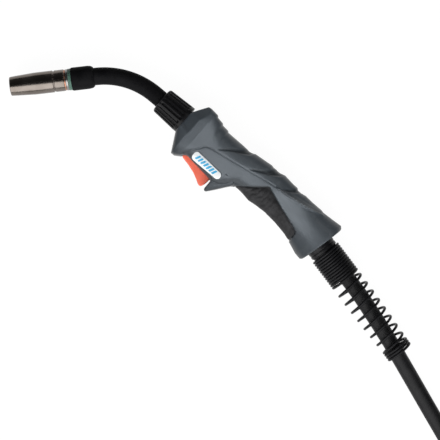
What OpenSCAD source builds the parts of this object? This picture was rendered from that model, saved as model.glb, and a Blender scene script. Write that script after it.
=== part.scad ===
// MIG welding torch lying on its side: swan neck with gas nozzle, two-part handle with trigger,
// kink spring, and a 3 m coaxial lead that ends in a central connector.
// Working datum: X = 0 at the handle's front face on the neck axis, +X runs back along the handle,
// +Y to the thumb side, and Z = 0 is the surface that the torch lies on.

/* [Nozzle] */
// Length of the conical gas nozzle
nozzle_len = 56; // [54:0.5:58]
// Outer diameter of the nozzle's cylindrical part
nozzle_od = 22; // [21:0.2:23]
// Outer diameter of the nozzle at its mouth
nozzle_mouth_od = 19; // [18.4:0.2:20]
// Bore of the nozzle at its mouth
nozzle_mouth_bore = 15; // [14:0.5:16]
// How far the contact tip stands back from the nozzle's mouth
tip_recess = 5; // [4:0.5:8]
// Bore of the contact tip, for 1.0 mm wire
tip_bore = 1.2; // [0.8:0.1:1.6]

/* [Neck] */
// Outer diameter of the insulated swan neck
neck_od = 17.5; // [17:0.1:18]
// Angle that the swan neck turns through
neck_angle = 47.2; // [45:0.1:50]
// Bend radius of the swan neck's centre line
neck_bend_r = 79; // [76:0.5:82]
// Distance from the nozzle's mouth to the point where the two straight axes cross
neck_reach = 119.6; // [118:0.2:122]
// Outer diameter of the neck nut at its handle end
nut_od = 30; // [29:0.5:31]

/* [Handle] */
// Half width of the handle at its widest
handle_half_w = 20; // [19:0.5:21]
// Wall thickness of the handle shells
wall = 2.4; // [2:0.1:2.8]

/* [Trigger] */
// Width of the trigger
trigger_w = 12; // [11:0.5:12]
// Radius of the trigger's pivot pin
pivot_r = 1.5; // [1.2:0.1:1.6]

/* [Cable] */
// Outer diameter of the coaxial lead
cable_d = 16; // [15.6:0.1:16]
// Wire diameter of the kink spring
spring_wire = 2.8; // [2.4:0.1:2.8]
// Outer diameter of the kink spring's closed coils
spring_od = 33; // [32.5:0.1:33.5]

/* [Connector] */
// Radius of the central plug pin
plug_pin_r = 6; // [5.8:0.1:6.2]
// Outer diameter of the union nut
union_od = 44; // [42:0.5:44]

/* [Hidden] */
$fn = 48;

mid_z = handle_half_w;           // height of the torch's middle plane
base_shift = [-77.4, 34.3, 0];   // brings the middle of the torch's box to the origin
gap = 0.3;                       // room between parts that move past each other
run = 0.05;                      // radial running clearance of shafts and slides

// Swan neck
neck_cross_x = -73.6;            // where the neck's two straight axes cross
neck_tangent = neck_bend_r * tan(neck_angle / 2);
neck_tube_r = 6;
neck_tube_bore = 3.4;
neck_tube_end = 20;              // X of the copper tube's end inside the handle
neck_skin_end = -19;             // X where the insulation ends inside the nut
nut_len = 31;
collar_front = 61.5;             // distances along the nozzle's axis from its mouth
collar_back = 84;
seat_front = nozzle_len;
ring_front = 58.5;
tip_len = 28;
tip_shank_from = 21;             // where the tip's threaded shank starts, from its front
tip_shank_r = 3;
holder_front = 34;
holder_back = 66;
liner_r = 2.2;
neck_steps = 14;

// Handle: side outline and half width along X
top_line = [[0, 10], [4, 16.2], [10, 25.2], [13, 25.5], [23, 24], [33, 20.4], [42, 18.8], [60, 18.5],
    [75, 20], [96, 22], [112, 22.8], [130, 22.6], [145, 21.6], [162, 20], [184, 21]];
bottom_line = [[0, -15], [4, -22.2], [10.5, -34.3], [14, -34.2], [20, -30.2], [34, -29], [58, -30.5],
    [68, -28], [75, -23], [80, -18.8], [90, -19.2], [100, -20.6], [108, -19.3], [120, -18.7], [135, -20],
    [150, -22.5], [160, -25.5], [174, -30], [184, -31.2]];
half_width = [[0, 15.5], [10.5, 19.2], [20, 20], [45, 19.4], [60, 18.5], [80, 17], [110, 16.2],
    [138, 16.2], [155, 17], [170, 18.4], [184, 20]];
handle_stations = [0.2, 4, 7.5, 10.5, 14, 18, 23, 28, 34, 42, 50, 58, 64, 70, 75, 80, 88, 96, 104, 112,
    120, 130, 140, 150, 157, 164, 170, 176, 180, 184];
handle_len = 184;
rear_tilt_from = 140;            // from here back the sections lean over to match the rear face
rear_tilt = tan(12.3);
rear_pivot_y = -6;               // height at which the leaning sections keep their place
section_power = 2 / 2.9;         // roundness of the handle's section
arc_steps = 12;
front_wall_x = 1.2;
front_wall_back = 4.2;
rear_wall_x = 177.2;
pad_stations = [85, 90, 95, 100, 104, 107, 112, 118, 124, 130, 136, 142, 148, 154];
pad_edge = [[85, 150], [107, 82], [130, 106], [154, 126]];
pad_steps = 8;
pad_proud = 0.4;
pad_sunk = 0.5;
guard_half_w = 12;               // half width of the finger guard in front of the grip
guard_outline = [[58.6, -29], [58.6, -34], [59.2, -40.6], [60.2, -41.4], [61.8, -41], [68.4, -33],
    [74.6, -24.2], [72, -22.5], [62, -27.5]];
// Screws of the handle: X, Y and the height of the boss that holds each one
screw_places = [[15, 17, 13.6], [13.5, -23.5, 15.2], [99, 14.8, 11.8], [151, 15, 10.6], [163, -20.5, 11.5]];
screw_r = 1.5;
screw_reach = 8;                 // how far the screws reach into the upper half
screw_head_r = 2.8;
screw_head_h = 2;
screw_sunk = 5;                  // depth of each screw head's well below the end of its boss
boss_r = 3.6;
badge_x = 46;
badge_t = 0.8;
badge_round = 1.5;
badge_outline = [[29.5, -20.5], [32.8, -16.2], [59.2, -18.6], [62.8, -20.6], [59.4, -24.7], [30.8, -22.3]];

// Trigger mechanism
pivot = [25, -22];
slot_w = trigger_w + 2 * gap;
trigger_outline = [[20.8, -29.6], [24, -30.6], [30, -31.6], [40, -34.6], [47, -38], [50.5, -40.2],
    [53, -40.9], [54.6, -40], [56.2, -36], [56.9, -31], [56.6, -27.4], [50, -24.6], [46, -20.5],
    [42, -20.5], [38, -23.6], [27, -20], [21.9, -23]];
plunger_x = 44;
plunger_r = 1.2;
plunger_len = 6;
switch_w = 10;
switch_low_y = -17.6;
switch_h = 9.2;
return_spring_x = 33.5;
return_spring_r = 1.9;
return_spring_turns = 6;
return_spring_pitch = 1.75;
return_spring_wire_r = 0.3;

// Cable support and kink spring, on an axis that leans down from the handle
support_at = [184.5, -8];
support_lean = 12.3;
support_r = 14.7;
spring_start = 8.4;
spring_close_turns = 11.5;
spring_open_turns = 8;
spring_end_turns = 3.2;
close_pitch = 2.86;
open_pitch = 10.3;
spring_turns = spring_close_turns + spring_open_turns + spring_end_turns;
spring_steps = 15;               // rings of the spring's wire in each turn
spring_r0 = (spring_od - spring_wire) / 2;
spring_r1 = 13.1;
spring_droop = [0, -1, -2.5];
lead_exit = 22;                  // where the lead leaves the cable support, along its axis
groove_r = support_r - 2.2;      // groove that the handle's rear wall sits in
lead_bend_r = 268;
lead_bend_x = support_at.x - 8.5 - lead_bend_r * sin(support_lean);

// Route of the lead from the cable support to its coil, and from the coil to the plug
lead_route = [[206, -12.7, 20], [217, -14, 20], [228, -15.4, 20], [245, -19.2, 19.9], [262, -24, 19.5],
    [280, -29.3, 18.7], [298, -34.9, 17.6], [315, -40.6, 16.1], [333, -46.8, 14.2], [352, -53.4, 12.2],
    [372, -60.4, 10.2], [393, -67.7, 8.8], [415, -75.4, 8.2], [437, -83, 8.1], [455, -89.2, 8.1],
    [468, -93.7, 8.1]];
tail_route = [[419.7, -57.2, 24], [432, -71, 25], [449.5, -85, 28], [467, -93, 31.5],
    [486.5, -97.1, 35.5], [505, -97, 39], [522.7, -92.2, 41], [536.5, -86.5, 42], [548.2, -79.5, 43.5],
    [558, -69.5, 45.5], [566, -57, 48], [571, -43.5, 50.3], [572.7, -29.4, 52.2], [571.5, -15, 53.5],
    [567, -1.4, 54], [562, 10, 54], [557, 21.3, 54], [550.7, 35.5, 54]];
lead_sides = 10;
coil_at = [500, -1];
coil_inner = 58;
coil_outer = 106;
coil_height = 32;
coil_round = 7;
tie_angle = 60;

// Plug
plug_at = [567, -1.4, 54];
plug_heading = 114;
boot_len = 45;
housing_len = 48;
union_start = 90;
union_len = 27;
body_front = 112;
pin_len = 18;
contact_spread = 9.5;            // distance of the control contacts from the plug's axis
contact_r = 2;
nipple_spread = 10.4;            // distance of the gas nipple from the plug's axis
nipple_r = 2.5;

// ---------- places ----------

module torch_place() {
    translate(base_shift) children();
}

// Children are made along +Z from the nozzle's mouth back towards the neck
module along_nozzle() {
    mouth = [neck_cross_x - neck_reach * cos(neck_angle), -neck_reach * sin(neck_angle), mid_z];
    torch_place() translate(mouth) rotate([0, 0, neck_angle]) rotate([0, 90, 0]) children();
}

// Children are made along +Z, which becomes +X along the neck's rear axis
module along_neck(x = 0) {
    torch_place() translate([x, 0, mid_z]) rotate([0, 90, 0]) children();
}

// Children are made along +Z, which becomes the cable support's leaning axis
module along_support() {
    torch_place() translate([support_at.x, support_at.y, mid_z])
        rotate([0, 0, -support_lean]) rotate([0, 90, 0]) children();
}

// Children are made along +Z, which becomes the plug's axis
module along_plug() {
    torch_place() translate(plug_at) rotate([0, 0, plug_heading]) rotate([0, 90, 0]) children();
}

// ---------- shared shapes ----------

module ring(r_out, r_in, h) {
    difference() {
        cylinder(r = r_out, h = h);
        translate([0, 0, -1]) cylinder(r = r_in, h = h + 2);
    }
}

// Centre line of the swan neck, from a distance along the nozzle's axis to an X inside the handle
function neck_path(front, back_x) =
    let (reach = neck_reach - front, bend_x = neck_cross_x + neck_tangent)
    concat([[neck_cross_x - reach * cos(neck_angle), -reach * sin(neck_angle), mid_z]],
        [for (k = [neck_steps : -1 : 0]) let (a = neck_angle * k / neck_steps)
            [bend_x - neck_bend_r * sin(a), neck_bend_r * (cos(a) - 1), mid_z]],
        [[back_x, 0, mid_z]]);

// Tube that follows the swan neck
module neck_sweep(r_out, r_in, front, back_x, sides) {
    torch_place() tube_sweep(neck_path(front, back_x), r_out, r_in, sides);
}

function unit(v) = v / norm(v);

// Rings of points around a path, each ring square to the path, with radius r
function sweep_ring(path, i, r, sides) =
    let (a = path[max(i - 1, 0)], b = path[min(i + 1, len(path) - 1)], t = unit(b - a),
        side = unit(cross(t, [0, 0, 1])), up = cross(side, t))
    [for (k = [0 : sides - 1]) path[i] + r * (cos(360 * k / sides) * side + sin(360 * k / sides) * up)];

module sweep(path, r, sides) {
    n = len(path);
    points = [for (i = [0 : n - 1]) each sweep_ring(path, i, r, sides)];
    walls = [for (i = [0 : n - 2], k = [0 : sides - 1]) let (m = (k + 1) % sides)
        [i * sides + k, i * sides + m, (i + 1) * sides + m, (i + 1) * sides + k]];
    front = [for (k = [sides - 1 : -1 : 0]) k];
    back = [for (k = [0 : sides - 1]) (n - 1) * sides + k];
    polyhedron(points, concat(walls, [front, back]), convexity = 10);
}

// Hollow tube along a path
module tube_sweep(path, r_out, r_in, sides) {
    n = len(path);
    per = 2 * sides;
    points = [for (i = [0 : n - 1])
        each concat(sweep_ring(path, i, r_out, sides), sweep_ring(path, i, r_in, sides))];
    outside = [for (i = [0 : n - 2], k = [0 : sides - 1]) let (m = (k + 1) % sides)
        [i * per + k, i * per + m, (i + 1) * per + m, (i + 1) * per + k]];
    inside = [for (i = [0 : n - 2], k = [0 : sides - 1]) let (m = (k + 1) % sides, b = i * per + sides)
        [b + m, b + k, b + per + k, b + per + m]];
    front = [for (k = [0 : sides - 1]) let (m = (k + 1) % sides) [m, k, sides + k, sides + m]];
    back = [for (k = [0 : sides - 1]) let (m = (k + 1) % sides, b = (n - 1) * per)
        [b + k, b + m, b + sides + m, b + sides + k]];
    polyhedron(points, concat(outside, inside, front, back), convexity = 10);
}

// ---------- nozzle and neck ----------

module gas_nozzle() {
    r = nozzle_od / 2;
    mouth_r = nozzle_mouth_od / 2;
    bore_r = nozzle_mouth_bore / 2;
    seat_r = 8.9;
    color("rosybrown") along_nozzle() rotate_extrude() polygon([[bore_r, 0], [mouth_r - 0.4, 0],
        [mouth_r, 0.4], [r - 0.3, 22], [r, 26], [r, 43.4], [r - 0.7, 43.8], [r - 0.7, 44.4],
        [r - 0.15, 44.8], [r - 0.15, 54.4], [r - 0.8, nozzle_len], [seat_r, nozzle_len], [seat_r, 40],
        [seat_r - 0.6, 38], [seat_r - 0.6, 24], [bore_r, 12]]);
}

module contact_tip() {
    color("peru") along_nozzle() translate([0, 0, tip_recess]) difference() {
        rotate_extrude() polygon([[0, 0], [2.6, 0], [4, 3.4], [4, tip_shank_from],
            [tip_shank_r, tip_shank_from], [tip_shank_r, tip_len], [0, tip_len]]);
        translate([0, 0, -1]) cylinder(r = tip_bore / 2, h = tip_len + 2);
    }
}

// Threaded sleeve that the contact tip screws into
module tip_adaptor() {
    start = tip_recess + tip_shank_from;
    color("goldenrod") along_nozzle() difference() {
        translate([0, 0, start]) rotate_extrude() polygon([[0, 0], [4.6, 0], [5.2, 0.6],
            [5.2, holder_front - start], [0, holder_front - start]]);
        translate([0, 0, start - 1]) cylinder(r = tip_shank_r, h = holder_front - start + 2);
    }
}

module tip_holder() {
    gas_holes = 6;
    color("goldenrod") along_nozzle() difference() {
        translate([0, 0, holder_front]) rotate_extrude() polygon([[0, 0], [5.2, 0], [5.2, 8], [6.4, 10],
            [6.4, holder_back - holder_front], [0, holder_back - holder_front]]);
        translate([0, 0, holder_front - 1]) cylinder(r = liner_r, h = 80);
        for (k = [0 : gas_holes - 1]) rotate([0, 0, k * 360 / gas_holes]) translate([0, 0, holder_front + 3])
            rotate([0, 90, 0]) cylinder(r = 0.9, h = 12, $fn = 24);
    }
}

// Sprung metal seat that the nozzle is pushed onto
module nozzle_seat() {
    color("silver") along_nozzle() {
        ring_h = ring_front - seat_front;
        translate([0, 0, seat_front + 0.1]) ring(10.6, 6.4, ring_h - 0.1);
        translate([0, 0, 46]) ring(8.9 - run, 6.4, seat_front - 46 + 0.2);
    }
}

module insulator_ring() {
    color("mediumaquamarine") along_nozzle() translate([0, 0, ring_front])
        ring(10.9, 6.4, collar_front - ring_front);
}

module neck_end_collar() {
    color("#151517") along_nozzle() difference() {
        rotate_extrude() polygon([[0, collar_front], [11, collar_front], [11.6, collar_front + 0.8],
            [11.6, collar_back - 3], [9.6, collar_back], [0, collar_back]]);
        translate([0, 0, collar_front - 1]) cylinder(r = 6.4, h = holder_back - collar_front + 1);
        translate([0, 0, holder_back - 0.1]) cylinder(r = neck_tube_r, h = 8.1);
        translate([0, 0, 74]) cylinder(r = neck_od / 2, h = 12);
    }
}

module neck_tube() {
    color("peru") neck_sweep(neck_tube_r, neck_tube_bore, holder_back, neck_tube_end, 16);
}

module neck_insulation() {
    color("#18181a") neck_sweep(neck_od / 2, neck_tube_r + 0.2, 74, neck_skin_end, 24);
}

module wire_liner() {
    color("gainsboro") neck_sweep(liner_r - run, 1, holder_front + 0.2, 34, 8);
}

module neck_nut() {
    flutes = 20;
    r = nut_od / 2;
    color("#1b1b1d") along_neck(-nut_len) difference() {
        rotate_extrude() polygon([[0, 0], [r - 2.6, 0], [r - 1.6, 1.4], [r, nut_len - 3], [r, nut_len],
            [0, nut_len]]);
        translate([0, 0, -1]) cylinder(r = neck_od / 2 + run, h = nut_len + 2);
        translate([0, 0, nut_len + neck_skin_end]) cylinder(r = 10, h = nut_len);
        for (k = [0 : flutes - 1]) rotate([0, 0, k * 360 / flutes]) translate([r - 2.4, -0.8, 3])
            cube([4, 1.6, nut_len - 7]);
    }
}

module neck_connector() {
    color("goldenrod") along_neck(neck_skin_end) difference() {
        union() {
            cylinder(r = 10 - run, h = -neck_skin_end);
            translate([0, 0, front_wall_back - neck_skin_end + 0.2]) cylinder(r = 13, h = 6);
            cylinder(r = 9, h = 36 - neck_skin_end);
        }
        translate([0, 0, -1]) cylinder(r = neck_tube_r, h = neck_tube_end - neck_skin_end + 1);
        translate([0, 0, 1]) cylinder(r = liner_r, h = 80);
    }
}

module crimp_ferrule() {
    color("peru") along_neck(36) difference() {
        rotate_extrude() polygon([[0, 0], [7, 0], [7.8, 1], [7.8, 8], [7.1, 9], [7.1, 12], [7.8, 13],
            [7.8, 20], [7.1, 21], [7.1, 24], [7.8, 25], [7.8, 30], [0, 30]]);
        translate([0, 0, 4]) cylinder(r = 4.5, h = 40);
    }
}

// ---------- handle ----------

function lean(x) = max(0, (x - rear_tilt_from) / (handle_len - rear_tilt_from)) * rear_tilt;

// Point of the handle's section at station x, at an angle from the top edge (0) to the bottom edge (180),
// moved inwards by inset
function section_point(x, a, inset) =
    let (top = lookup(x, top_line) - inset, low = lookup(x, bottom_line) + inset,
        w = lookup(x, half_width) - inset, mid = (top + low) / 2, h = (top - low) / 2,
        y = mid + h * sign(cos(a)) * pow(abs(cos(a)), section_power), z = w * pow(abs(sin(a)), section_power))
    [x + lean(x) * (y - rear_pivot_y), y, z];

// One side of the hollow handle: a C-shaped section carried along the handle, then mirrored if side is -1
module handle_skin(side) {
    n = len(handle_stations);
    m = arc_steps;
    per = 2 * (m + 1);
    points = [for (x = handle_stations) each concat(
        [for (k = [0 : m]) section_point(x, 180 * k / m, 0)],
        [for (k = [m : -1 : 0]) section_point(x, 180 * k / m, wall)])];
    walls = [for (i = [0 : n - 2], k = [0 : per - 1]) let (j = (k + 1) % per)
        [i * per + k, (i + 1) * per + k, (i + 1) * per + j, i * per + j]];
    front = [for (k = [0 : m - 1]) [k, k + 1, per - 2 - k, per - 1 - k]];
    back = [for (k = [0 : m - 1]) let (b = (n - 1) * per)
        [b + per - 1 - k, b + per - 2 - k, b + k + 1, b + k]];
    mirror([0, 0, side < 0 ? 1 : 0]) polyhedron(points, concat(walls, front, back), convexity = 10);
}

// Half of a section's outline as a flat shape in Y and Z, for the end walls
module section_half(x, inset) {
    polygon([for (k = [0 : arc_steps]) let (p = section_point(x, 180 * k / arc_steps, inset)) [p.y, p.z]]);
}

// What stands inside each half shell, and the finger guard, drawn on the +Z side of the middle plane
module shell_fittings() {
    translate([front_wall_x, 0, 0]) rotate([90, 0, 90]) linear_extrude(front_wall_back - front_wall_x)
        section_half(front_wall_x, 1);
    linear_extrude(guard_half_w) polygon(guard_outline);
    for (p = screw_places) translate([p.x, p.y, 0]) cylinder(r = boss_r, h = p.z, $fn = 32);
    // boss that holds the trigger's pin
    translate([pivot.x, pivot.y, slot_w / 2]) cylinder(r = 3.4, h = 8, $fn = 32);
    // shelf that carries the switch
    translate([36, switch_low_y + switch_h + 0.2, switch_w / 2 + gap]) cube([17, 1.8, 13]);
    rear_wall();
}

module shell_half(side) {
    difference() {
        union() {
            handle_skin(1);
            shell_fittings();
        }
        // way for the neck's connector
        translate([-1, 0, 0]) rotate([0, 90, 0]) cylinder(r = 10.1, h = 8);
        // trigger's slot
        translate([19.4, -45, -1]) cube([39, 33, slot_w / 2 + 1]);
        translate([pivot.x, pivot.y, -1]) cylinder(r = pivot_r, h = 12, $fn = 32);
        for (p = screw_places) translate([p.x, p.y, -1]) cylinder(r = screw_r, h = screw_reach + 2, $fn = 24);
        if (side < 0) screw_wells();
    }
}

// Clearance holes and wells for the screw heads, in the half that the screws enter from
module screw_wells() {
    for (p = screw_places) {
        translate([p.x, p.y, 5]) cylinder(r = screw_r + 0.2, h = 40, $fn = 24);
        translate([p.x, p.y, p.z - screw_sunk]) cylinder(r = screw_head_r + 0.2, h = 40, $fn = 24);
    }
}

// Wall that the cable support's groove fits over
module rear_wall() {
    slope = lean(rear_wall_x);
    difference() {
        translate([rear_wall_x, rear_pivot_y, 0]) rotate([0, 0, -atan(slope)])
            rotate([90, 0, 90]) translate([0, 0, -1.1]) linear_extrude(2.2)
            polygon([for (k = [0 : arc_steps]) let (p = section_point(rear_wall_x, 180 * k / arc_steps, 1))
                [(p.y - rear_pivot_y) * sqrt(1 + slope * slope), p.z]]);
        translate([support_at.x, support_at.y, 0]) rotate([0, 0, -support_lean]) rotate([0, 90, 0])
            translate([0, 0, -20]) cylinder(r = groove_r + 0.2, h = 40);
    }
}

module handle_shell_upper() {
    color("slategray") torch_place() translate([0, 0, mid_z]) shell_half(1);
}

module handle_shell_lower() {
    color("slategray") torch_place() translate([0, 0, mid_z]) mirror([0, 0, 1]) shell_half(-1);
}

// Thin textured pad that wraps the underside of one half of the handle
module grip_pad(side) {
    n = len(pad_stations);
    m = pad_steps;
    per = 2 * (m + 1);
    points = [for (x = pad_stations) let (a0 = lookup(x, pad_edge)) each concat(
        [for (k = [0 : m]) section_point(x, a0 + (180 - a0) * k / m, -pad_proud)],
        [for (k = [m : -1 : 0]) section_point(x, a0 + (180 - a0) * k / m, pad_sunk)])];
    walls = [for (i = [0 : n - 2], k = [0 : per - 1]) let (j = (k + 1) % per)
        [i * per + k, (i + 1) * per + k, (i + 1) * per + j, i * per + j]];
    front = [for (k = [0 : m - 1]) [k, k + 1, per - 2 - k, per - 1 - k]];
    back = [for (k = [0 : m - 1]) let (b = (n - 1) * per)
        [b + per - 1 - k, b + per - 2 - k, b + k + 1, b + k]];
    torch_place() translate([0, 0, mid_z]) mirror([0, 0, side < 0 ? 1 : 0])
        polyhedron(points, concat(walls, front, back), convexity = 6);
}

module grip_pad_upper() {
    color("#26262a") grip_pad(1);
}

module grip_pad_lower() {
    color("#26262a") grip_pad(-1);
}

// Plain badge on the flank above the trigger
module badge(side) {
    lift = lookup(badge_x, half_width);
    torch_place() translate([0, 0, mid_z + side * (lift + 0.1) - badge_t / 2]) linear_extrude(badge_t)
        offset(r = badge_round) polygon(badge_outline);
}

module badge_upper() {
    color("white") badge(1);
}

module badge_lower() {
    color("white") badge(-1);
}

module handle_screws() {
    color("dimgray") torch_place() translate([0, 0, mid_z]) for (p = screw_places) translate([p.x, p.y, 0]) {
        shank = p.z - screw_sunk;
        difference() {
            union() {
                translate([0, 0, -shank]) cylinder(r = screw_r, h = shank + screw_reach, $fn = 24);
                translate([0, 0, -shank - screw_head_h])
                    cylinder(r = screw_head_r, h = screw_head_h, $fn = 24);
            }
            translate([0, 0, -shank - screw_head_h - 0.1]) cylinder(r = 1.2, h = 1.4, $fn = 6);
        }
    }
}

// ---------- trigger ----------

module trigger() {
    color("tomato") torch_place() translate([0, 0, mid_z - trigger_w / 2]) difference() {
        union() {
            linear_extrude(trigger_w) polygon(trigger_outline);
            translate([pivot.x, pivot.y, 0]) cylinder(r = 3.2, h = trigger_w);
        }
        translate([pivot.x, pivot.y, -1]) cylinder(r = pivot_r + run, h = trigger_w + 2);
    }
}

module trigger_pin() {
    pin_len = 20;
    color("silver") torch_place() translate([pivot.x, pivot.y, mid_z - pin_len / 2])
        cylinder(r = pivot_r, h = pin_len);
}

// Return spring between the trigger's back and the neck connector
module trigger_spring() {
    steps = 12;
    path = [for (i = [0 : return_spring_turns * steps]) let (t = i / steps)
        [return_spring_r * cos(360 * t), return_spring_r * sin(360 * t), return_spring_pitch * t]];
    color("lightgray") torch_place() translate([return_spring_x, -20.8, mid_z]) rotate([-90, 0, 0])
        sweep(path, return_spring_wire_r, 6);
}

module microswitch() {
    nub_len = 0.3;
    color("#202022") torch_place() difference() {
        union() {
            translate([36.5, switch_low_y, mid_z - switch_w / 2]) cube([16, switch_h, switch_w]);
            translate([plunger_x, switch_low_y - nub_len, mid_z]) rotate([-90, 0, 0])
                cylinder(r = 2.4, h = 2, $fn = 32);
        }
        translate([plunger_x, switch_low_y - 1, mid_z]) rotate([-90, 0, 0])
            cylinder(r = plunger_r + run, h = 7, $fn = 32);
    }
}

module switch_plunger() {
    color("ivory") torch_place() translate([plunger_x, pivot.y + 1.8, mid_z]) rotate([-90, 0, 0])
        cylinder(r = plunger_r, h = plunger_len, $fn = 32);
}

// Two insulated leads from the switch's tags to the lead's end
module switch_leads() {
    color("firebrick") torch_place() for (side = [-1, 1]) {
        translate([52.5, -13, mid_z + side * 2.5 - 0.4]) cube([4, 2, 0.8]);
        translate([56.5, -12, mid_z + side * 2.5]) rotate([0, 90, 0]) cylinder(r = 1, h = 60, $fn = 24);
    }
}

// ---------- cable support, spring and lead ----------

// Jacketed end of the lead inside the handle
module cable_lead_in() {
    steps = 6;
    path = concat([[66, 0, mid_z]],
        [for (k = [0 : steps]) let (a = support_lean * k / steps)
            [lead_bend_x + lead_bend_r * sin(a), lead_bend_r * (cos(a) - 1), mid_z]],
        [[support_at.x + lead_exit * cos(support_lean), support_at.y - lead_exit * sin(support_lean),
            mid_z]]);
    color("#1c1c1e") torch_place() sweep(path, cable_d / 2, 16);
}

module cable_support() {
    color("#161618") along_support() difference() {
        rotate_extrude() polygon([[0, -14], [support_r - 0.4, -14], [support_r - 0.4, -9.2], [groove_r, -9.2],
            [groove_r, -5.8], [support_r, -5.8], [support_r, 6], [support_r - 0.6, 6.8], [13.4, 6.8],
            [13.4, lead_exit], [0, lead_exit]]);
        translate([0, 0, -20]) cylinder(r = cable_d / 2 + 2 * run, h = 60);
    }
}

function spring_radius(t) =
    let (opened = min(max(t - spring_close_turns, 0), spring_open_turns))
    spring_r0 + (spring_r1 - spring_r0) * pow(opened / spring_open_turns, 2);

function spring_rise(t) =
    let (open = min(max(t - spring_close_turns, 0), spring_open_turns))
    spring_start + close_pitch * (t - open) + open_pitch * open;

module kink_spring() {
    full = spring_rise(spring_turns);
    lean_dir = [cos(support_lean), -sin(support_lean), 0];
    across = [sin(support_lean), cos(support_lean), 0];
    start = [support_at.x, support_at.y, mid_z];
    path = [for (i = [0 : spring_turns * spring_steps]) let (t = i / spring_steps, s = spring_rise(t))
        start + s * lean_dir + pow(s / full, 2) * spring_droop
        + spring_radius(t) * (cos(360 * t) * across + sin(360 * t) * [0, 0, 1])];
    color("#101012") torch_place() wire_sweep(path, spring_wire / 2 - 0.02, 6, lean_dir);
}

// Sweep of a wire that winds around an axis: the rings keep one side along that axis
module wire_sweep(path, r, sides, axis) {
    n = len(path);
    points = [for (i = [0 : n - 1])
        let (t = unit(path[min(i + 1, n - 1)] - path[max(i - 1, 0)]), out = unit(cross(t, axis)),
            up = cross(t, out))
        for (k = [0 : sides - 1]) path[i] + r * (cos(360 * k / sides) * out + sin(360 * k / sides) * up)];
    walls = [for (i = [0 : n - 2], k = [0 : sides - 1]) let (m = (k + 1) % sides)
        [i * sides + k, (i + 1) * sides + k, (i + 1) * sides + m, i * sides + m]];
    front = [for (k = [0 : sides - 1]) k];
    back = [for (k = [sides - 1 : -1 : 0]) (n - 1) * sides + k];
    polyhedron(points, concat(walls, [front, back]), convexity = 20);
}

module power_cable() {
    color("#1c1c1e") torch_place() sweep(lead_route, cable_d / 2, lead_sides);
}

module cable_coil() {
    mid = (coil_inner + coil_outer) / 2;
    color("#1c1c1e") torch_place() translate([coil_at.x, coil_at.y, 0]) rotate_extrude($fn = 96)
        translate([mid, coil_height / 2]) offset(r = coil_round)
            square([coil_outer - coil_inner - 2 * coil_round, coil_height - 2 * coil_round], center = true);
}

// Hook and loop strap around the coil's section
module cable_tie() {
    w = coil_outer - coil_inner;
    color("dimgray") torch_place() translate([coil_at.x, coil_at.y, 0]) rotate([0, 0, tie_angle])
        translate([(coil_inner + coil_outer) / 2, 0, coil_height / 2])
            rotate([90, 0, 0]) translate([0, 0, -10])
        difference() {
            linear_extrude(20) square([w + 3.4, coil_height], center = true);
            translate([0, 0, -1]) linear_extrude(22) square([w + 0.6, coil_height - 3], center = true);
        }
}

module cable_tail() {
    color("#1c1c1e") torch_place() sweep(tail_route, cable_d / 2, lead_sides);
}

// ---------- plug ----------

module plug_boot() {
    color("#161618") along_plug() difference() {
        rotate_extrude() polygon([[0, 0], [9.4, 0], [10.6, 2], [14.5, boot_len], [0, boot_len]]);
        translate([0, 0, -1]) cylinder(r = cable_d / 2, h = boot_len + 2);
    }
}

module plug_housing() {
    color("#202023") along_plug() translate([0, 0, boot_len]) difference() {
        rotate_extrude() polygon([[0, 0], [16, 0], [18.5, 4], [19.5, 12], [19.5, 38], [17.8, 40],
            [17.8, housing_len - 3], [0, housing_len - 3]]);
        translate([0, 0, 3]) cylinder(r = 15.2, h = housing_len);
        translate([0, 0, -1]) cylinder(r = 8, h = 10);
    }
}

module plug_body() {
    start = boot_len + housing_len - 3;
    color("goldenrod") along_plug() difference() {
        union() {
            translate([0, 0, start - 12]) cylinder(r = 15.1, h = 12);
            translate([0, 0, start]) cylinder(r = 17.8, h = 5);
            translate([0, 0, start + 5]) cylinder(r = 14, h = body_front - start - 5);
            translate([0, 0, body_front - 1]) cylinder(r = plug_pin_r, h = pin_len + 1);
        }
        translate([0, 0, start - 13]) cylinder(r = 1.8, h = 90);
        for (side = [-1, 1]) rotate([0, 0, side * 45]) translate([contact_spread, 0, body_front - 8])
            cylinder(r = contact_r + run, h = 20, $fn = 32);
        translate([-nipple_spread, 0, body_front - 6]) cylinder(r = nipple_r, h = 20, $fn = 32);
    }
}

module union_nut() {
    lobes = 12;
    r = union_od / 2;
    lip_r = 17.8 + 0.06;
    color("#1d1d20") along_plug() translate([0, 0, union_start - 5]) difference() {
        rotate_extrude() polygon([[0, 0], [r - 2.5, 0], [r, 2.5], [r, union_len - 2.5], [r - 2.5, union_len],
            [0, union_len]]);
        translate([0, 0, -1]) cylinder(r = lip_r, h = union_len + 2);
        for (k = [0 : lobes - 1]) rotate([0, 0, (k + 0.5) * 360 / lobes]) translate([r + 1.6, 0, -1])
            cylinder(r = 3, h = union_len + 2, $fn = 32);
    }
}

module gas_nipple() {
    color("goldenrod") along_plug() translate([-nipple_spread, 0, body_front - 6]) difference() {
        rotate_extrude($fn = 32) polygon([[0, 0], [nipple_r, 0], [nipple_r, 9], [1.9, 9], [1.9, 11],
            [nipple_r, 11], [nipple_r, 13], [1.8, 14.5], [0, 14.5]]);
        translate([0, 0, -1]) cylinder(r = 0.9, h = 20, $fn = 24);
    }
}

module gas_o_ring() {
    color("#101010") along_plug() translate([-nipple_spread, 0, body_front + 4]) rotate_extrude($fn = 32)
        translate([2.6, 0]) circle(r = 0.7, $fn = 16);
}

// Spring-loaded control contact beside the central pin
module contact_pin(side) {
    color("gold") along_plug() rotate([0, 0, side * 45]) translate([contact_spread, 0, body_front - 4.5])
        rotate_extrude($fn = 32) polygon([[0, 0], [contact_r, 0], [contact_r, 9], [1.4, 10.5], [0, 11]]);
}

module contact_pin_a() {
    contact_pin(1);
}

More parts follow.
